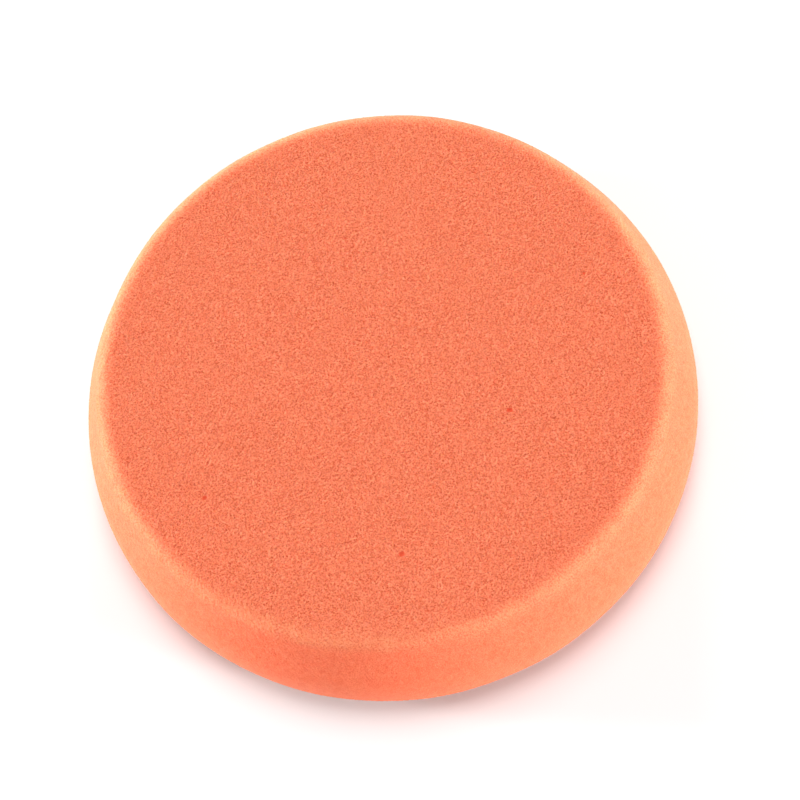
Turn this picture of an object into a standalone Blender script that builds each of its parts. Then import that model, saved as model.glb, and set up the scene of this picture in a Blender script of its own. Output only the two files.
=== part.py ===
"""A foam polishing pad for a rotary or orbital polisher, with a hook-and-loop back.

It lies on its loops with the work face up: +Z is up, and the origin is the centre of the loops'
lowest plane. From the bottom up it is a layer of loops, the cloth that they are knitted into, the
film that bonds the cloth to the foam, and the foam itself.
"""

import math

import bmesh
import bpy
from mathutils import Vector

MM = 0.001

# Driving dimensions.
PAD_DIAMETER = 150 * MM
PAD_THICKNESS = 29 * MM
FACE_DIAMETER = 136.2 * MM  # where the side's taper would meet the face, if the edge were sharp
LAND_HEIGHT = 9.6 * MM  # from the foam's back up to where the taper would start
LOOP_DIAMETER = 144 * MM  # the cloth is cut a little smaller than the foam

# The layers behind the foam, and the clearance between each two neighbours.
PILE_HEIGHT = 1.2 * MM
CLOTH_THICKNESS = 0.5 * MM
FILM_THICKNESS = 0.3 * MM
CLEARANCE = 0.3 * MM

# Roundings of the foam's section.
FACE_EDGE_RADIUS = 5 * MM
KNEE_RADIUS = 24 * MM
BACK_EDGE_RADIUS = 2 * MM
ARC_STEP = math.radians(12)  # the most that one straight piece of an arc turns

SEGMENTS = 72

# Worked out from the above.
CLOTH_BOTTOM = PILE_HEIGHT + CLEARANCE
FILM_BOTTOM = CLOTH_BOTTOM + CLOTH_THICKNESS + CLEARANCE
FOAM_BOTTOM = FILM_BOTTOM + FILM_THICKNESS + CLEARANCE
LOOP_RADIUS = LOOP_DIAMETER / 2


def clear_scene():
    for old in list(bpy.data.objects):
        bpy.data.objects.remove(old, do_unlink=True)


def principled(name, colour, roughness):
    """A non-metallic Principled material."""
    material = bpy.data.materials.new(name)
    material.use_nodes = True
    shader = material.node_tree.nodes["Principled BSDF"]
    shader.inputs["Base Color"].default_value = (*colour, 1)
    shader.inputs["Roughness"].default_value = roughness
    shader.inputs["Metallic"].default_value = 0
    return material


def rounded(before, corner, after, radius):
    """The points of the arc that rounds a corner between two straight runs, in 2-D."""
    back = (before - corner).normalized()
    on = (after - corner).normalized()
    half = back.angle(on) / 2
    run = radius / math.tan(half)
    centre = corner + (back + on).normalized() * radius / math.sin(half)
    first = corner + back * run - centre
    last = corner + on * run - centre
    turn = first.angle_signed(last)
    steps = max(2, math.ceil(abs(turn) / ARC_STEP))
    side = Vector((first.y, -first.x))
    angles = [turn * i / steps for i in range(steps + 1)]
    return [centre + first * math.cos(a) + side * math.sin(a) for a in angles]


def foam_section():
    """The foam's half section as (radius, height) points, from its back round to its face."""
    rim = PAD_DIAMETER / 2
    back = Vector((0, FOAM_BOTTOM))
    heel = Vector((rim, FOAM_BOTTOM))
    knee = Vector((rim, FOAM_BOTTOM + LAND_HEIGHT))
    edge = Vector((FACE_DIAMETER / 2, PAD_THICKNESS))
    face = Vector((0, PAD_THICKNESS))
    return [
        *rounded(back, heel, knee, BACK_EDGE_RADIUS),
        *rounded(heel, knee, edge, KNEE_RADIUS),
        *rounded(knee, edge, face, FACE_EDGE_RADIUS),
    ]


def turned(name, section, material):
    """An object made by turning a section about Z and closing both ends with one flat face each."""
    shape = bmesh.new()
    points = [shape.verts.new((p.x, 0, p.y)) for p in section]
    edges = [shape.edges.new(pair) for pair in zip(points, points[1:])]
    bmesh.ops.spin(
        shape,
        geom=points + edges,
        cent=(0, 0, 0),
        axis=(0, 0, 1),
        angle=math.tau,
        steps=SEGMENTS,
        use_merge=True,
    )
    bmesh.ops.holes_fill(shape, edges=[e for e in shape.edges if e.is_boundary], sides=0)
    bmesh.ops.recalc_face_normals(shape, faces=shape.faces)
    mesh = bpy.data.meshes.new(name)
    shape.to_mesh(mesh)
    shape.free()
    mesh.shade_smooth()
    mesh.set_sharp_from_angle(angle=math.radians(40))
    mesh.materials.append(material)
    made = bpy.data.objects.new(name, mesh)
    bpy.context.scene.collection.objects.link(made)
    return made


def disc(name, bottom, thickness, material):
    """A flat round layer of the loop fabric's diameter."""
    section = [Vector((LOOP_RADIUS, bottom)), Vector((LOOP_RADIUS, bottom + thickness))]
    return turned(name, section, material)


def foam_body():
    orange = principled("foam", colour=(0.8, 0.18, 0.085), roughness=0.9)
    return turned("foam_body", foam_section(), orange)


def adhesive_film():
    amber = principled("film", colour=(0.59, 0.5, 0.34), roughness=0.4)
    return disc("adhesive_film", FILM_BOTTOM, FILM_THICKNESS, amber)


def backing_cloth():
    white = principled("cloth", colour=(0.62, 0.61, 0.59), roughness=0.85)
    return disc("backing_cloth", CLOTH_BOTTOM, CLOTH_THICKNESS, white)


def loop_pile():
    white = principled("loops", colour=(0.72, 0.71, 0.69), roughness=0.9)
    return disc("loop_pile", 0, PILE_HEIGHT, white)


clear_scene()
foam_body()
adhesive_film()
backing_cloth()
loop_pile()
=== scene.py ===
"""Looks of a foam polishing pad: porous orange foam over a bonded hook-and-loop cloth.

Lengths are in metres, in the CAD's frame: +Z up through the work face, the loops' lowest plane at 0.
"""

import math

import bpy
import numpy as np
from mathutils import Matrix, Vector
from mathutils.kdtree import KDTree


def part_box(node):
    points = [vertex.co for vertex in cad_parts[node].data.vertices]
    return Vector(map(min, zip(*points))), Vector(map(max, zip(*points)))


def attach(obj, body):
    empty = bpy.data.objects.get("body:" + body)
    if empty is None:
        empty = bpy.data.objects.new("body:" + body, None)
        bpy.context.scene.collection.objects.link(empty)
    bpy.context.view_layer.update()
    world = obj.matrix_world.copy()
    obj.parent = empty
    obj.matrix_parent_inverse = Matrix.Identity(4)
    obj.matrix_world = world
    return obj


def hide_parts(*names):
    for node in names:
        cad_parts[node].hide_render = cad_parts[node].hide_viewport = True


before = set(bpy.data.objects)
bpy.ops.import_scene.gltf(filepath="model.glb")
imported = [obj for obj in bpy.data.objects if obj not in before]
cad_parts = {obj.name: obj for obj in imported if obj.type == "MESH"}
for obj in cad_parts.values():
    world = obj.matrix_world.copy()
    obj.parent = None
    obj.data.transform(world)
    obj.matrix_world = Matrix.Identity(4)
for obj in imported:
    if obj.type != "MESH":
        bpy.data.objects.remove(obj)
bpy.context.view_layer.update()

MM = 0.001

# Where the CAD nodes lie.
FOAM_LOW, FOAM_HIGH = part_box("foam_body")
CLOTH_LOW, CLOTH_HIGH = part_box("backing_cloth")
RIM_RADIUS = FOAM_HIGH.x
CLOTH_RADIUS = CLOTH_HIGH.x

# The foam's section, as the CAD has it.
FACE_CORNER_RADIUS = 68.1 * MM
LAND_HEIGHT = 9.6 * MM
FACE_EDGE_ROUND = 5 * MM
KNEE_ROUND = 24 * MM
BACK_EDGE_ROUND = 2 * MM

# Camera: half a metre away with a tele lens, looking steeply down, rolled a little.
CAMERA_DISTANCE = 0.5
CAMERA_ELEVATION = math.radians(66.75)
CAMERA_ROLL = math.radians(-15.8)
CAMERA_LENS = 90.8  # on a 36 mm wide sensor
CAMERA_SENSOR = 36
CAMERA_CLIP_START = 10 * MM
CAMERA_TARGET = Vector((0, 0, 4.1 * MM))
CAMERA_SLIDE = (2.02 * MM, 1.13 * MM)  # to the camera's right and up


# ---------------------------------------------------------------- meshes

# Across the tubes: any direction that no tube runs along.
TUBE_SIDE_HINT = (0.31, 0.22, 0.92)
WAVE_PITCHES = (0.7, 1.5)  # of the asked length


def mesh_object(name, points, faces, material):
    """A smooth-shaded object of the given points and faces, added to the scene."""
    mesh = bpy.data.meshes.new(name)
    mesh.from_pydata(np.asarray(points).tolist(), [], faces)
    mesh.shade_smooth()
    mesh.materials.append(material)
    made = bpy.data.objects.new(name, mesh)
    bpy.context.scene.collection.objects.link(made)
    return made


def round_the_circle(count):
    """Evenly spaced (x, y) points on a circle of radius 1."""
    angle = np.arange(count) * math.tau / count
    return np.stack([np.cos(angle), np.sin(angle)], axis=1)


def arc_points(before, corner, after, radius, step=math.radians(2)):
    """The points of the arc that rounds a corner between two straight runs, in 2-D."""
    back = (before - corner).normalized()
    on = (after - corner).normalized()
    half = back.angle(on) / 2
    run = radius / math.tan(half)
    centre = corner + (back + on).normalized() * radius / math.sin(half)
    first = corner + back * run - centre
    turn = first.angle_signed(corner + on * run - centre)
    steps = max(2, math.ceil(abs(turn) / step))
    side = Vector((first.y, -first.x))
    angles = [turn * i / steps for i in range(steps + 1)]
    return [centre + first * math.cos(a) + side * math.sin(a) for a in angles]


def evenly(line, spacing):
    """The same polyline with its points evenly spaced."""
    runs = np.linalg.norm(np.diff(line, axis=0), axis=1)
    along = np.concatenate([[0], np.cumsum(runs)])
    at = np.linspace(0, along[-1], round(along[-1] / spacing) + 1)
    return np.stack([np.interp(at, along, line[:, k]) for k in range(2)], axis=1)


def disc_grid(radius, rings):
    """A flat round grid of near-equal triangles: (x, y) points, and faces that look up.

    Ring k has 6k points, so the outer ring has 6 * rings, and they are the last ones.
    """
    points = [np.zeros((1, 2))]
    faces = []
    for k in range(1, rings + 1):
        points.append(round_the_circle(6 * k) * radius * k / rings)
        faces += ring_faces(k)
    return np.concatenate(points), np.concatenate(faces)


def ring_faces(k):
    """The triangles between ring k - 1 and ring k of a disc grid."""
    start = 1 + 3 * k * (k - 1)
    inner = 1 + 3 * (k - 1) * (k - 2) if k > 1 else 0
    inner_count = max(1, 6 * (k - 1))
    sector = np.repeat(np.arange(6), k)
    i = np.tile(np.arange(k), 6)
    out_a = start + (sector * k + i) % (6 * k)
    out_b = start + (sector * k + i + 1) % (6 * k)
    in_a = inner + (sector * (k - 1) + i) % inner_count
    up = np.stack([in_a, out_a, out_b], axis=1)
    sector, i = sector[i < k - 1], i[i < k - 1]
    in_a = inner + (sector * (k - 1) + i) % inner_count
    in_b = inner + (sector * (k - 1) + i + 1) % inner_count
    out_b = start + (sector * k + i + 1) % (6 * k)
    down = np.stack([in_a, out_b, in_b], axis=1)
    return [up, down]


def skirt_faces(first, count, rings):
    """Triangles between rings of equal count, stacked downwards from the one starting at first."""
    ring = np.arange(rings)[:, None] * count + first
    here = np.arange(count)[None, :]
    after = (here + 1) % count
    a, b = ring + here, ring + after
    c, d = a + count, b + count
    left = np.stack([a, c, d], axis=-1).reshape(-1, 3)
    right = np.stack([a, d, b], axis=-1).reshape(-1, 3)
    return np.concatenate([left, right])


def tubes(paths, radius):
    """Three-sided closed tubes along many paths of equal length: points and faces."""
    count, stations, _ = paths.shape
    along = np.gradient(paths, axis=1)
    along /= np.linalg.norm(along, axis=2, keepdims=True)
    side = np.cross(along, TUBE_SIDE_HINT)
    side /= np.linalg.norm(side, axis=2, keepdims=True)
    other = np.cross(along, side)
    turn = np.arange(3) * math.tau / 3
    spoke = (
        side[:, :, None] * np.cos(turn)[None, None, :, None]
        + other[:, :, None] * np.sin(turn)[None, None, :, None]
    )
    points = paths[:, :, None] + spoke * radius[:, None, None, None]
    base = np.arange(count)[:, None] * stations * 3
    quads = []
    for s in range(stations - 1):
        for k in range(3):
            a, b = s * 3 + k, s * 3 + (k + 1) % 3
            quads.append(base + np.array([a, b, b + 3, a + 3]))
    last = (stations - 1) * 3
    ends = [base + np.array([2, 1, 0]), base + np.array([last, last + 1, last + 2])]
    faces = np.concatenate(quads).tolist() + np.concatenate(ends).tolist()
    return points.reshape(-1, 3), faces


def point_normals(points, faces):
    """The average normal at each point."""
    a, b, c = (points[faces[:, k]] for k in range(3))
    across = np.cross(b - a, c - a)
    normal = np.zeros_like(points)
    for k in range(3):
        np.add.at(normal, faces[:, k], across)
    return normal / np.maximum(np.linalg.norm(normal, axis=1, keepdims=True), 1e-20)


def waves(points, length, count, rng):
    """Smooth random undulation from -1 to 1 or so: a sum of waves of about the given length."""
    total = np.zeros(len(points))
    for _ in range(count):
        direction = rng.normal(size=3)
        direction /= np.linalg.norm(direction)
        pitch = length * rng.uniform(*WAVE_PITCHES)
        total += np.sin(points @ direction * math.tau / pitch + rng.uniform(0, math.tau))
    return total / math.sqrt(count)


# ---------------------------------------------------------------- foam

FACE_RINGS = 220
SIDE_STEP = 0.33 * MM
PORE_SEED = 11
PORE_SPACING = 0.72 * MM
PORE_RADIUS = (0.26 * MM, 0.52 * MM)
PORE_DEPTH = (0.04 * MM, 0.34 * MM)
PORE_DEPTH_SPREAD = (1.6, 2.4)  # of a beta distribution, so more pores are shallow than deep
PIT_STRETCH = (1, 1.5)  # a pit's length over its width
PIT_STEEPNESS = 1.5  # 1 gives a pit a parabola's section, and more gives it a softer lip
# How deep pores are against those of the face, by the way past the flat face's edge.
PORE_FADE_AT = (-2 * MM, 3 * MM, 14 * MM, 30 * MM)
PORE_FADE = (1.0, 0.6, 0.5, 0.3)
UNEVEN_SEED = 5
GRAIN_HEIGHT = 0.018 * MM
SWELL_HEIGHT = 0.05 * MM
SWELL_LENGTH = 22 * MM
SWELL_WAVES = 14
# The painted highlight on the rounded edge, a pale stripe that stands in for the light the edge
# catches: how far it lies past the flat face, and its half width.
HIGHLIGHT_BAND_AT = 3.1 * MM
HIGHLIGHT_BAND_WIDTH = 2.2 * MM
# The few larger cells that the cut has opened: place on the face in mm, and radius in mm.
LARGE_CELLS = [
    (26, -20, 1.0),
    (-7, -47, 0.95),
    (-47.5, -20.5, 0.85),
    (52.5, 8.5, 0.6),
    (35, 43, 0.6),
    (0, 35, 0.6),
]
LARGE_CELL_DEPTH = 0.5 * MM


def foam_section(spacing):
    """Evenly spaced (radius, height) points down the foam's side, from the face to the back."""
    face = Vector((0, FOAM_HIGH.z))
    edge = Vector((FACE_CORNER_RADIUS, FOAM_HIGH.z))
    knee = Vector((RIM_RADIUS, FOAM_LOW.z + LAND_HEIGHT))
    heel = Vector((RIM_RADIUS, FOAM_LOW.z))
    back = Vector((0, FOAM_LOW.z))
    line = np.array(
        [
            *arc_points(face, edge, knee, FACE_EDGE_ROUND),
            *arc_points(edge, knee, heel, KNEE_ROUND),
            *arc_points(knee, heel, back, BACK_EDGE_ROUND),
        ]
    )
    return evenly(line, spacing)


def foam_surface():
    """The foam's plain form: points, triangles, and the back's outline.

    Also each point's way past the flat face's edge, along the section.
    """
    section = foam_section(SIDE_STEP)
    flat, faces = disc_grid(section[0, 0], FACE_RINGS)
    count = 6 * FACE_RINGS
    first = len(flat) - count
    top = np.column_stack([flat, np.full(len(flat), FOAM_HIGH.z)])
    ring = round_the_circle(count)
    side = [np.column_stack([ring * r, np.full(count, height)]) for r, height in section[1:]]
    points = np.concatenate([top, *side])
    faces = np.concatenate([faces, skirt_faces(first, count, len(section) - 1)])
    back = list(range(len(points) - 1, len(points) - count - 1, -1))
    inward = np.linalg.norm(flat, axis=1) - section[0, 0]
    past = np.concatenate([inward, np.repeat(np.arange(1, len(section)) * SIDE_STEP, count)])
    return points, faces, back, past


def search_tree(points):
    tree = KDTree(len(points))
    for i, p in enumerate(points):
        tree.insert(p, i)
    tree.balance()
    return tree


def scattered(tree, points, spacing, rng):
    """Indices of points chosen at random, no two nearer to each other than spacing."""
    free = np.ones(len(points), bool)
    chosen = []
    for i in rng.permutation(len(points)):
        if free[i]:
            chosen.append(i)
            for _, j, _ in tree.find_range(points[i], spacing):
                free[j] = False
    return np.array(chosen)


def pits(tree, points, normals, at, radius, depth, rng):
    """How deep each point sinks into the oval pits around the chosen points."""
    long_axis = rng.normal(size=(len(at), 3))
    long_axis -= normals[at] * (long_axis * normals[at]).sum(1, keepdims=True)
    long_axis /= np.linalg.norm(long_axis, axis=1, keepdims=True)
    cross_axis = np.cross(normals[at], long_axis)
    stretch = rng.uniform(*PIT_STRETCH, len(at))
    near = enumerate(zip(at, radius))
    pairs = [(n, j) for n, (i, r) in near for _, j, _ in tree.find_range(points[i], r)]
    n, j = np.array(pairs).T
    off = points[j] - points[at][n]
    along = (off * long_axis[n]).sum(1) / radius[n]
    across = (off * cross_axis[n]).sum(1) / radius[n] * stretch[n]
    inside = np.clip(1 - along**2 - across**2, 0, 1)
    sink = np.zeros(len(points))
    np.maximum.at(sink, j, depth[n] * inside**PIT_STEEPNESS)
    return sink


def foam_relief(points, normals, past):
    """How deep each point sinks below the plain form: in the pores, and in the large cells."""
    rng = np.random.default_rng(PORE_SEED)
    tree = search_tree(points)
    at = scattered(tree, points, PORE_SPACING, rng)
    radius = rng.uniform(*PORE_RADIUS, len(at))
    low, high = PORE_DEPTH
    depth = low + (high - low) * rng.beta(*PORE_DEPTH_SPREAD, len(at))
    depth *= np.interp(past[at], PORE_FADE_AT, PORE_FADE)
    pores = pits(tree, points, normals, at, radius, depth, rng)
    places = np.array(LARGE_CELLS)
    at = np.array([tree.find((x * MM, y * MM, FOAM_HIGH.z))[1] for x, y, _ in places])
    radius = places[:, 2] * MM
    depth = LARGE_CELL_DEPTH * radius / radius.max()
    return pores, pits(tree, points, normals, at, radius, depth, rng)


def set_attribute(obj, name, values):
    layer = obj.data.attributes.new(name, "FLOAT", "POINT")
    layer.data.foreach_set("value", np.asarray(values, np.float32))


def make_foam():
    """The foam disc, with the attributes that its material reads."""
    points, faces, back, past = foam_surface()
    normals = point_normals(points, faces)
    pores, large_cells = foam_relief(points, normals, past)
    sink = np.maximum(pores, large_cells)
    rng = np.random.default_rng(UNEVEN_SEED)
    grain = rng.normal(size=len(points)) * GRAIN_HEIGHT
    swell = waves(points, SWELL_LENGTH, SWELL_WAVES, rng) * SWELL_HEIGHT
    shaped = points + normals * (grain + swell - sink)[:, None]
    foam = mesh_object("foam_disc", shaped, faces.tolist() + [back], foam_material())
    set_attribute(foam, "large_cell", large_cells / LARGE_CELL_DEPTH)
    set_attribute(foam, "past", past)
    # Painted highlight: this attribute marks the pale stripe on the rounded edge, a stand-in for the
    # light the edge catches.
    set_attribute(foam, "edge", np.exp(-(((past - HIGHLIGHT_BAND_AT) / HIGHLIGHT_BAND_WIDTH) ** 2)))
    return foam


# ---------------------------------------------------------------- bonding film

BEAD_SEED = 3
BEAD_POINTS = 720
BEAD_GAP = 0.02 * MM  # to the cloth and to the foam
BEAD_WOBBLE = 0.25 * MM
BEAD_WAVE_LENGTH = 5 * MM
BEAD_WAVES = 12
# The bead's section, from the top down: share of the film's thickness, and way outwards.
BEAD_SECTION = ((0, -0.3 * MM), (0.2, 0), (0.5, 0.12 * MM), (0.8, 0), (1, -0.3 * MM))


def make_bond():
    """The bonding film, with the slightly uneven bead that it squeezes out at its rim."""
    rng = np.random.default_rng(BEAD_SEED)
    count = BEAD_POINTS
    low, high = CLOTH_HIGH.z + BEAD_GAP, FOAM_LOW.z - BEAD_GAP
    ring = round_the_circle(count)
    rim = np.column_stack([ring * CLOTH_RADIUS, np.zeros(count)])
    wobble = waves(rim, BEAD_WAVE_LENGTH, BEAD_WAVES, rng) * BEAD_WOBBLE / 2
    radius = CLOTH_RADIUS - BEAD_WOBBLE + wobble
    points = []
    for share, out in BEAD_SECTION:
        height = low + (high - low) * (1 - share)
        points.append(np.column_stack([ring * (radius + out)[:, None], np.full(count, height)]))
    faces = skirt_faces(0, count, len(points) - 1).tolist()
    top = list(range(count))
    total = count * len(points)
    bottom = list(range(total - 1, total - count - 1, -1))
    return mesh_object("bond_film", np.concatenate(points), faces + [top, bottom], film_material())


# ---------------------------------------------------------------- loop cloth

KNIT_SEED = 8
KNIT_RINGS = 90
KNIT_INSET = 0.1 * MM
RIM_WAVE_LENGTH = 1.7 * MM
RIM_WAVES = 9
RIM_WOBBLE = 0.0008  # of the radius
WALE_PITCH = 1.9 * MM
COURSE_PITCH = 2.3 * MM
KNIT_RELIEF = 0.05 * MM

LOOP_SEED = 21
LOOP_COUNT = 4700
LOOP_STATIONS = 7
LOOP_WIDTH = (0.9 * MM, 1.7 * MM)
LOOP_CLEARANCE = (0.14 * MM, 0.5 * MM)  # from a loop's lowest point to the pad's lowest plane
LOOP_ROOT = 0.15 * MM  # how far a loop's feet reach into the cloth
LOOP_LEAN = 0.5 * MM
LOOP_FULLNESS = 0.7  # below 1, a loop is squarer than a half circle
LOOP_STRAY = 0.22 * MM
LOOP_TURN = 0.7  # rad, about the knit's direction
LOOP_FIELD_INSET = 2 * MM
YARN_RADIUS = (0.06 * MM, 0.11 * MM)

RIM_LOOP_SEED = 22
# Rows of loops along the cut rim: how far inside it, and the spacing along a row.
RIM_ROWS = (0.3 * MM, 0.75 * MM, 1.2 * MM, 1.8 * MM)
RIM_LOOP_SPACING = 0.62 * MM
RIM_LOOP_STRAY = 0.25  # of the spacing
RIM_LOOP_TURN = 0.6  # rad, about the rim's direction

# Cut filaments that stand out of the cloth's rim. Slant, bend and droop are shares of the length.
FIBRE_SEED = 23
FIBRE_COUNT = 1100
FIBRE_LENGTH = (0.25 * MM, 0.8 * MM)
FIBRE_RADIUS = (0.018 * MM, 0.035 * MM)
FIBRE_STATIONS = 5
FIBRE_ROOT = 0.25 * MM
FIBRE_MARGINS = (0.1 * MM, 0.05 * MM)  # from the cloth's lower and upper face
FIBRE_SLANT = 0.5
FIBRE_BEND = 0.4
FIBRE_DROOP = (0.1, 0.5)


def knit_surface(rng):
    """A thin closed round cloth, with an uneven cut rim and the knit's relief underneath."""
    flat, faces = disc_grid(CLOTH_RADIUS - KNIT_INSET, KNIT_RINGS)
    count = 6 * KNIT_RINGS
    rim = np.column_stack([flat[-count:], np.zeros(count)])
    flat[-count:] *= 1 + waves(rim, RIM_WAVE_LENGTH, RIM_WAVES, rng)[:, None] * RIM_WOBBLE
    wale = np.sin(flat[:, 0] * math.tau / WALE_PITCH) * np.sin(flat[:, 1] * math.tau / COURSE_PITCH)
    low = np.column_stack([flat, CLOTH_LOW.z + KNIT_RELIEF + wale * KNIT_RELIEF])
    high = np.column_stack([flat, np.full(len(flat), CLOTH_HIGH.z)])
    here = len(flat) - count + np.arange(count)
    after = len(flat) - count + (np.arange(count) + 1) % count
    first_half = np.stack([here, here + len(flat), after + len(flat)], axis=1)
    second_half = np.stack([here, after + len(flat), after], axis=1)
    under = faces[:, ::-1] + len(flat)
    return np.concatenate([high, low]), np.concatenate([faces, under, first_half, second_half])


def make_cloth(material):
    """The knitted ground cloth, die-cut round, with an uneven cut rim."""
    points, faces = knit_surface(np.random.default_rng(KNIT_SEED))
    cloth = mesh_object("knit_ground", points, faces.tolist(), material)
    return cloth


def loop_arches(places, heading, rng):
    """Small leaning arches of yarn that hang from the cloth at the given places."""
    count = len(places)
    width = rng.uniform(*LOOP_WIDTH, count)
    top = CLOTH_LOW.z + LOOP_ROOT
    drop = top - rng.uniform(*LOOP_CLEARANCE, count)
    lean = rng.normal(0, LOOP_LEAN, count)
    t = np.linspace(0, math.pi, LOOP_STATIONS)
    across = np.cos(t)[None] * width[:, None] / 2
    over = np.sin(t)[None] * lean[:, None]
    c, s = np.cos(heading)[:, None], np.sin(heading)[:, None]
    x = places[:, :1] + across * c - over * s
    y = places[:, 1:] + across * s + over * c
    z = top - np.sin(t)[None] ** LOOP_FULLNESS * drop[:, None]
    return tubes(np.stack([x, y, z], axis=2), rng.uniform(*YARN_RADIUS, count))


def spiral_points(count, radius):
    """Evenly spread points over a disc, on a sunflower spiral."""
    i = np.arange(count) + 0.5
    away = radius * np.sqrt(i / count)
    angle = i * math.pi * (3 - math.sqrt(5))
    return np.stack([away * np.cos(angle), away * np.sin(angle)], axis=1)


def make_loops(material):
    """The raised loops over the whole cloth."""
    rng = np.random.default_rng(LOOP_SEED)
    places = spiral_points(LOOP_COUNT, CLOTH_RADIUS - LOOP_FIELD_INSET)
    places += rng.normal(size=places.shape) * LOOP_STRAY
    heading = rng.normal(0, LOOP_TURN, LOOP_COUNT)
    points, faces = loop_arches(places, heading, rng)
    return mesh_object("loops", points, faces, material)


def make_rim_loops(material):
    """The loops along the cut rim, closer than the others, as the cut lets them spread."""
    rng = np.random.default_rng(RIM_LOOP_SEED)
    places = []
    for inset in RIM_ROWS:
        radius = CLOTH_RADIUS - inset
        count = round(math.tau * radius / RIM_LOOP_SPACING)
        stray = rng.normal(0, RIM_LOOP_STRAY, count) * RIM_LOOP_SPACING / radius
        angle = np.arange(count) * math.tau / count + stray
        places.append(np.stack([np.cos(angle), np.sin(angle)], axis=1) * radius)
    places = np.concatenate(places)
    along_rim = np.arctan2(places[:, 1], places[:, 0]) + math.pi / 2
    heading = along_rim + rng.normal(0, RIM_LOOP_TURN, len(places))
    points, faces = loop_arches(places, heading, rng)
    return mesh_object("rim_loops", points, faces, material)


def fibre_paths(rng):
    """The short bent lines of the filaments, each from inside the cloth's rim outwards and down."""
    angle = rng.uniform(0, math.tau, FIBRE_COUNT)
    zero = np.zeros(FIBRE_COUNT)
    outward = np.stack([np.cos(angle), np.sin(angle), zero], axis=1)
    sideways = np.stack([-np.sin(angle), np.cos(angle), zero], axis=1)
    start = outward * (CLOTH_RADIUS - FIBRE_ROOT)
    below, above = FIBRE_MARGINS
    start[:, 2] = rng.uniform(CLOTH_LOW.z + below, CLOTH_HIGH.z - above, FIBRE_COUNT)
    length = rng.uniform(*FIBRE_LENGTH, FIBRE_COUNT)[:, None, None]
    slant = rng.normal(0, FIBRE_SLANT, FIBRE_COUNT)[:, None, None]
    bend = rng.normal(0, FIBRE_BEND, FIBRE_COUNT)[:, None, None]
    droop = rng.uniform(*FIBRE_DROOP, FIBRE_COUNT)[:, None, None]
    t = np.linspace(0, 1, FIBRE_STATIONS)[None, :, None]
    out = outward[:, None] * t
    aside = sideways[:, None] * (slant * t + bend * t**2)
    down = np.array([0, 0, 1]) * droop * t**2
    return start[:, None] + length * (out + aside - down)


def make_rim_fibres(material):
    """The short cut filaments that stand out of the cloth's rim."""
    rng = np.random.default_rng(FIBRE_SEED)
    paths = fibre_paths(rng)
    points, faces = tubes(paths, rng.uniform(*FIBRE_RADIUS, FIBRE_COUNT))
    return mesh_object("rim_fibres", points, faces, material)


# ---------------------------------------------------------------- shader nodes


def new_material(name):
    material = bpy.data.materials.new(name)
    material.use_nodes = True
    tree = material.node_tree
    return material, tree, tree.nodes["Principled BSDF"]


def node(tree, kind, inputs=(), **settings):
    """A shader node with its settings, and its inputs linked from sockets or set to values."""
    made = tree.nodes.new(kind)
    for key, value in settings.items():
        setattr(made, key, value)
    for key, value in dict(inputs).items():
        if isinstance(value, bpy.types.NodeSocket):
            tree.links.new(value, made.inputs[key])
        else:
            made.inputs[key].default_value = value
    return made


def place(tree):
    return node(tree, "ShaderNodeTexCoord").outputs["Object"]


def attribute(tree, name):
    return node(tree, "ShaderNodeAttribute", attribute_name=name).outputs["Fac"]


def noise(tree, size, detail=2.0, roughness=0.5):
    """Smooth noise around 0.5 with features of the given size in metres."""
    inputs = {"Vector": place(tree), "Scale": 1 / size, "Detail": detail, "Roughness": roughness}
    return node(tree, "ShaderNodeTexNoise", inputs).outputs["Fac"]


def cells(tree, size):
    """The distance to the nearest of scattered points, which lie about the given size apart."""
    inputs = {"Vector": place(tree), "Scale": 1 / size}
    return node(tree, "ShaderNodeTexVoronoi", inputs).outputs["Distance"]


def ramp(tree, value, low, high, to_low=0.0, to_high=1.0):
    """A value taken from one range to another, smoothly and within limits."""
    inputs = {
        "Value": value,
        "From Min": low,
        "From Max": high,
        "To Min": to_low,
        "To Max": to_high,
    }
    made = node(tree, "ShaderNodeMapRange", inputs, interpolation_type="SMOOTHSTEP")
    return made.outputs["Result"]


def clouds(tree, size, thin, thick):
    """Soft clouds of the given size, with one value where they are thin and another where thick."""
    return ramp(tree, noise(tree, size), *CLOUD_EDGES, thin, thick)


def maths(tree, operation, a, b=0.0, clamp=False):
    made = node(tree, "ShaderNodeMath", {0: a, 1: b}, operation=operation, use_clamp=clamp)
    return made.outputs[0]


def blend_colours(tree, share, first, second):
    made = node(tree, "ShaderNodeMix", {"Factor": share}, data_type="RGBA")
    for socket, colour in ((made.inputs[6], first), (made.inputs[7], second)):
        if isinstance(colour, bpy.types.NodeSocket):
            tree.links.new(colour, socket)
        else:
            socket.default_value = (*colour, 1)
    return made.outputs[2]


def bump(tree, height, distance, strength=1.0):
    inputs = {"Height": height, "Distance": distance, "Strength": strength}
    return node(tree, "ShaderNodeBump", inputs).outputs["Normal"]


# ---------------------------------------------------------------- materials

# The noise values between which clouds go from thin to thick.
CLOUD_EDGES = (0.3, 0.7)

# The foam: each pair is the colour in a pore and the colour on a strut. The pore's darker colour is
# partly the foam's grain and partly painted shade in the cells. The strut's lighter one is partly
# grain and partly painted light.
FACE_COLOURS = ((0.54, 0.070, 0.026), (0.97, 0.285, 0.150))
# Painted highlight: the paler colours of the rounded edge.
EDGE_HIGHLIGHT_COLOURS = ((0.76, 0.165, 0.072), (0.98, 0.370, 0.190))
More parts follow.
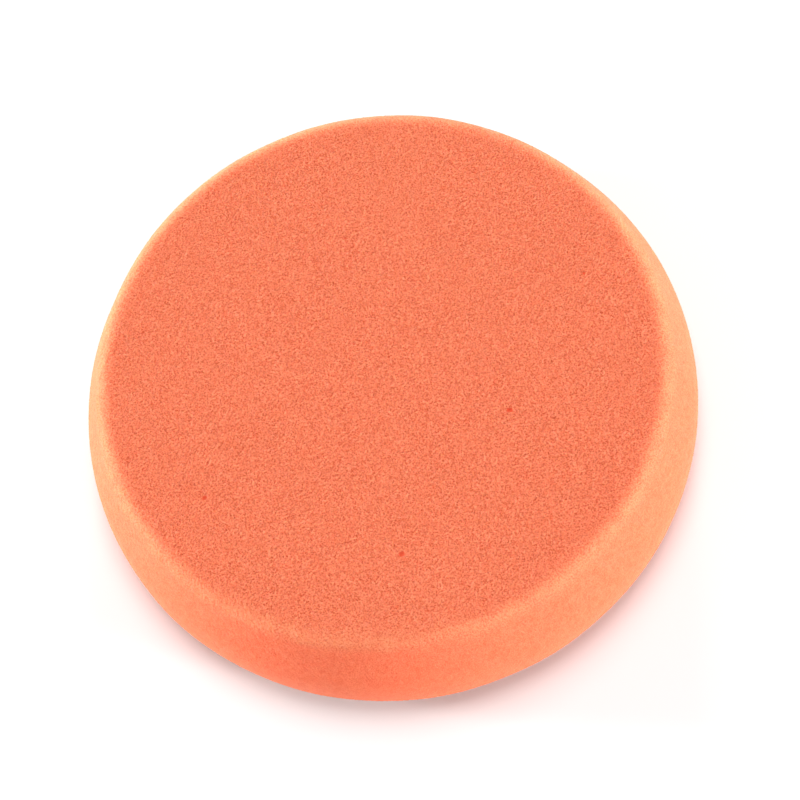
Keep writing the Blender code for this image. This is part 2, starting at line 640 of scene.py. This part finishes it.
# Painted shade: the side's deeper, redder colours stand in for the redder look of the foam's wall
# where it lies in shade.
SHADED_SIDE_COLOURS = ((0.78, 0.106, 0.044), (0.99, 0.242, 0.120))
CELL_RED = (0.84, 0.112, 0.048)
PORE_SIZE = 0.5 * MM
PORE_EDGES = (0.12, 0.7)  # ways from a pore's centre, in pore sizes, between which it turns to strut
STRUT_SIZE = 0.34 * MM
# The speckle is this much of the pores and this much of the struts, less this much.
PORE_SHARE = 0.54
STRUT_SHARE = 0.72
SPECKLE_DROP = 0.2
# Ways past the flat face's edge between which the foam's look changes.
EDGE_ZONE = (-1 * MM, 4 * MM)
BODY_ZONE = (2 * MM, 7 * MM)
MOTTLE_ZONE = (3 * MM, 9 * MM)
SIDE_ZONE = (8 * MM, 26 * MM)
# How strong the speckle is on the face and past its edge.
FACE_CONTRAST = 0.88
EDGE_CONTRAST = 0.7
# How strong it is low on the side, and in its fainter patches, against the rest.
SIDE_CONTRAST = 0.4
FAINT_CONTRAST = 0.7
FAINT_SIZE = 3 * MM
FAINT_EDGES = (0.25, 0.75)
MOTTLE_SIZE = 1.6 * MM
SIDE_MOTTLE = 0.22
# The painted highlight on the rounded edge is broken into patches of this size, from weak to strong.
HIGHLIGHT_PATCH_SIZE = 4 * MM
HIGHLIGHT_STRENGTH = (0.4, 0.85)
# The shares of a large cell's depth between which its red comes in, and how much of it.
CELL_EDGES = (0.1, 0.6)
CELL_COVER = 0.9
FOAM_BUMP = 0.12 * MM
FOAM_BUMP_STRENGTH = 0.5
FOAM_ROUGHNESS = (0.98, 0.84)  # in a pore and on a strut
FOAM_SCATTER = (1.0, 0.28, 0.14)
FOAM_SCATTER_DEPTH = 3 * MM
FOAM_SHEEN_TINT = (1.0, 0.85, 0.7, 1)

# The others: each pair is what the material clouds between, and each size is its clouds'.
FILM_COLOURS = ((0.66, 0.56, 0.40), (0.52, 0.43, 0.28))
FILM_ROUGHNESS = (0.45, 0.6)
FILM_CLOUD_SIZE = 3 * MM
KNIT_COLOURS = ((0.50, 0.49, 0.47), (0.74, 0.73, 0.70))
KNIT_ROUGHNESS = (0.8, 0.95)
KNIT_FIBRE_SIZE = 0.3 * MM
KNIT_BUMP = 0.1 * MM
YARN_COLOURS = ((0.60, 0.59, 0.57), (0.84, 0.83, 0.80))
YARN_ROUGHNESS = (0.6, 0.85)
YARN_FIBRE_SIZE = 0.5 * MM
FLOOR_HAZE_SIZE = 0.2
FLOOR_COLOURS = ((0.875, 0.875, 0.875), (0.885, 0.885, 0.885))


def speckle(tree):
    """The cut cells and struts, the foam's grain: near 0 in a pore, which carries painted shade, and
    near 1 on a strut, which carries painted light.
    """
    pores = ramp(tree, cells(tree, PORE_SIZE), *PORE_EDGES)
    struts = ramp(tree, noise(tree, STRUT_SIZE, roughness=0.6), *CLOUD_EDGES)
    pores = maths(tree, "MULTIPLY", pores, PORE_SHARE)
    struts = maths(tree, "MULTIPLY", struts, STRUT_SHARE)
    return maths(tree, "SUBTRACT", maths(tree, "ADD", pores, struts), SPECKLE_DROP)


def strut_share(tree, grain, past):
    """How much of a strut's colour shows: speckle, weaker and softly mottled on the side."""
    at_edge = ramp(tree, past, *EDGE_ZONE, FACE_CONTRAST, EDGE_CONTRAST)
    down_side = ramp(tree, past, *SIDE_ZONE, 1.0, SIDE_CONTRAST)
    in_patches = ramp(tree, noise(tree, FAINT_SIZE, detail=3.0), *FAINT_EDGES, 1.0, FAINT_CONTRAST)
    contrast = maths(tree, "MULTIPLY", maths(tree, "MULTIPLY", at_edge, down_side), in_patches)
    spread = maths(tree, "MULTIPLY", maths(tree, "SUBTRACT", grain, 0.5), contrast)
    mottle = clouds(tree, MOTTLE_SIZE, -0.5, 0.5)
    on_side = maths(tree, "MULTIPLY", mottle, ramp(tree, past, *MOTTLE_ZONE, 0.0, SIDE_MOTTLE))
    return maths(tree, "ADD", maths(tree, "ADD", spread, on_side), 0.5, clamp=True)


def foam_colour(tree, grain):
    """Orange with dark pores and light struts, partly painted shade in the pores and painted light
    on the struts: a painted highlight on the rounded edge, and painted shade as a deeper red on the
    side.
    """
    past = attribute(tree, "past")
    share = strut_share(tree, grain, past)
    face = blend_colours(tree, share, *FACE_COLOURS)
    side = blend_colours(tree, share, *SHADED_SIDE_COLOURS)
    edge = blend_colours(tree, share, *EDGE_HIGHLIGHT_COLOURS)
    # Painted shade: past the face's edge the colour turns to the side's deeper red.
    body = blend_colours(tree, ramp(tree, past, *BODY_ZONE), face, side)
    # Painted highlight: the rounded edge turns paler in patches, as if it caught the light.
    patches = clouds(tree, HIGHLIGHT_PATCH_SIZE, *HIGHLIGHT_STRENGTH)
    highlight = maths(tree, "MULTIPLY", attribute(tree, "edge"), patches)
    highlighted = blend_colours(tree, highlight, body, edge)
    opened = ramp(tree, attribute(tree, "large_cell"), *CELL_EDGES, 0.0, CELL_COVER)
    return blend_colours(tree, opened, highlighted, CELL_RED)


def foam_material():
    material, tree, shader = new_material("open_cell_foam")
    grain = speckle(tree)
    tree.links.new(foam_colour(tree, grain), shader.inputs["Base Color"])
    tree.links.new(bump(tree, grain, FOAM_BUMP, FOAM_BUMP_STRENGTH), shader.inputs["Normal"])
    tree.links.new(ramp(tree, grain, 0.0, 1.0, *FOAM_ROUGHNESS), shader.inputs["Roughness"])
    shader.inputs["Specular IOR Level"].default_value = 0.12
    shader.inputs["Subsurface Weight"].default_value = 0.5
    shader.inputs["Subsurface Radius"].default_value = FOAM_SCATTER
    shader.inputs["Subsurface Scale"].default_value = FOAM_SCATTER_DEPTH
    shader.inputs["Sheen Weight"].default_value = 0.1
    shader.inputs["Sheen Roughness"].default_value = 0.3
    shader.inputs["Sheen Tint"].default_value = FOAM_SHEEN_TINT
    return material


def film_material():
    material, tree, shader = new_material("hot_melt_film")
    cloudy = noise(tree, FILM_CLOUD_SIZE)
    tree.links.new(blend_colours(tree, cloudy, *FILM_COLOURS), shader.inputs["Base Color"])
    tree.links.new(ramp(tree, cloudy, *CLOUD_EDGES, *FILM_ROUGHNESS), shader.inputs["Roughness"])
    shader.inputs["Specular IOR Level"].default_value = 0.25
    return material


def cloth_material():
    material, tree, shader = new_material("knitted_ground")
    fibre = noise(tree, KNIT_FIBRE_SIZE, detail=4.0, roughness=0.65)
    tree.links.new(blend_colours(tree, fibre, *KNIT_COLOURS), shader.inputs["Base Color"])
    tree.links.new(ramp(tree, fibre, *CLOUD_EDGES, *KNIT_ROUGHNESS), shader.inputs["Roughness"])
    tree.links.new(bump(tree, fibre, KNIT_BUMP), shader.inputs["Normal"])
    shader.inputs["Sheen Weight"].default_value = 0.2
    return material


def loop_material():
    material, tree, shader = new_material("loop_yarn")
    fibre = noise(tree, YARN_FIBRE_SIZE, detail=3.0)
    tree.links.new(blend_colours(tree, fibre, *YARN_COLOURS), shader.inputs["Base Color"])
    tree.links.new(ramp(tree, fibre, *CLOUD_EDGES, *YARN_ROUGHNESS), shader.inputs["Roughness"])
    shader.inputs["Sheen Weight"].default_value = 0.3
    return material


def floor_material():
    material, tree, shader = new_material("studio_floor")
    haze = noise(tree, FLOOR_HAZE_SIZE)
    tree.links.new(blend_colours(tree, haze, *FLOOR_COLOURS), shader.inputs["Base Color"])
    shader.inputs["Roughness"].default_value = 0.9
    shader.inputs["Specular IOR Level"].default_value = 0.1
    return material


# ---------------------------------------------------------------- stage

FLOOR_HALF_SIDE = 3.0
FLOOR_CORNERS = ((-1, -1), (1, -1), (1, 1), (-1, 1))
WORLD_STRENGTH = 0.45
# Distant soft lights: degrees anticlockwise from the camera's right, seen from above, degrees up,
# degrees across, and W/m2.
SOFT_LIGHTS = {
    "right": (-17, 4.5, 9, 4.7),
    "left": (172, 4.5, 9, 5.75),
    "back": (90, 4.5, 9, 2.05),
    "top": (90, 71, 35, 1.83),
}


def make_camera():
    """The scene's camera; returns the direction to its right."""
    back = Vector((0, -math.cos(CAMERA_ELEVATION), math.sin(CAMERA_ELEVATION)))
    level_right = Vector((1, 0, 0))
    level_up = back.cross(level_right)
    right = level_right * math.cos(CAMERA_ROLL) + level_up * math.sin(CAMERA_ROLL)
    up = back.cross(right)
    at = CAMERA_TARGET + right * CAMERA_SLIDE[0] + up * CAMERA_SLIDE[1] + back * CAMERA_DISTANCE
    camera = bpy.data.objects.new("camera", bpy.data.cameras.new("camera"))
    camera.matrix_world = Matrix.Translation(at) @ Matrix((right, up, back)).transposed().to_4x4()
    camera.data.lens = CAMERA_LENS
    camera.data.sensor_width = CAMERA_SENSOR
    camera.data.clip_start = CAMERA_CLIP_START
    bpy.context.scene.collection.objects.link(camera)
    bpy.context.scene.camera = camera
    return right


def make_world():
    """Even white light from all round, in front of a white backdrop."""
    world = bpy.data.worlds.new("studio")
    world.use_nodes = True
    tree = world.node_tree
    seen = node(tree, "ShaderNodeLightPath").outputs["Is Camera Ray"]
    backdrop = tree.nodes["Background"]
    backdrop.inputs["Color"].default_value = (1, 1, 1, 1)
    tree.links.new(ramp(tree, seen, 0.0, 1.0, WORLD_STRENGTH, 1.0), backdrop.inputs["Strength"])
    bpy.context.scene.world = world


def soft_light(name, direction, across, strength):
    """A light far away in a direction, which looks the given angle across."""
    light = bpy.data.lights.new(name, "SUN")
    light.energy = strength
    light.angle = math.radians(across)
    made = bpy.data.objects.new(name, light)
    made.rotation_euler = (-direction).to_track_quat("-Z", "Y").to_euler()
    bpy.context.scene.collection.objects.link(made)


def make_lights(camera_right):
    """Soft lights low round the pad, and one above and behind it."""
    sideways = Vector((camera_right.x, camera_right.y, 0)).normalized()
    behind = Vector((-sideways.y, sideways.x, 0))
    for name, (degrees_round, degrees_up, across, strength) in SOFT_LIGHTS.items():
        turn, rise = math.radians(degrees_round), math.radians(degrees_up)
        level = sideways * math.cos(turn) + behind * math.sin(turn)
        direction = level * math.cos(rise) + Vector((0, 0, math.sin(rise)))
        soft_light(f"soft_light_{name}", direction, across, strength)


def make_floor():
    corners = [(x * FLOOR_HALF_SIDE, y * FLOOR_HALF_SIDE, 0) for x, y in FLOOR_CORNERS]
    floor = mesh_object("floor", corners, [[0, 1, 2, 3]], floor_material())


def dress(piece, cad_node):
    """Puts a piece in place of a CAD node."""
    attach(piece, "root")
    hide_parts(cad_node)


def main():
    bpy.context.scene.view_settings.view_transform = "Standard"
    make_world()
    make_lights(make_camera())
    make_floor()
    dress(make_foam(), "foam_body")
    dress(make_bond(), "adhesive_film")
    white_knit = cloth_material()
    fringe = make_rim_fibres(white_knit)
    dress(fringe, "backing_cloth")
    dress(make_cloth(white_knit), "backing_cloth")
    white_yarn = loop_material()
    dress(make_loops(white_yarn), "loop_pile")
    dress(make_rim_loops(white_yarn), "loop_pile")


main()
